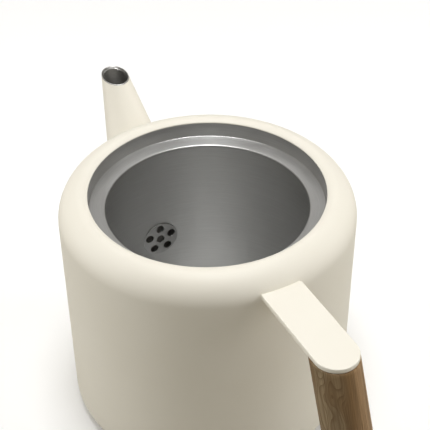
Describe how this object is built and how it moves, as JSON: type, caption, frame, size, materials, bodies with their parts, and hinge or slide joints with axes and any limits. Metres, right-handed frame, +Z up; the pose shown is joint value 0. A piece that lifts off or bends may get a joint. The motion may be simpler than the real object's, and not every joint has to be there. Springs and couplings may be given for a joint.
{
  "type": "stovetop kettle with side grip",
  "caption": "Double-walled round kettle with a recessed lid seat, an open conical pouring spout with a strainer, and a leaning wooden side grip under a flat strap.",
  "frame": {"origin": "body axis at the plane that the kettle stands on", "axes": "+Z up along the body axis, +X towards the grip, -X towards the spout, y = 0 is the plane of symmetry"},
  "size_m": [0.2905, 0.15, 0.1339],
  "materials": {
    "coating": "matt cream coating with a faint orange peel",
    "steel": "satin, brushed round the axis",
    "aluminium": "as rolled",
    "wood": "oiled mid-brown wood with long grain",
    "fastener": "zinc plated"
  },
  "bodies": {
    "root": {"outer_shell": "coating", "lid_seat_ring": "steel", "inner_vessel": "steel", "base_cap": "steel", "heat_spreader": "aluminium", "spout_cone": "coating", "pour_tube": "steel", "strainer_disc": "steel", "handle_strap": "coating", "strap_doubler": "steel", "wood_grip": "wood", "grip_boss": "steel", "grip_pin": "steel", "grip_washer": "fastener", "grip_spring_washer": "fastener", "grip_screw": "fastener", "grip_plug": "wood"}
  },
  "joints": []
}
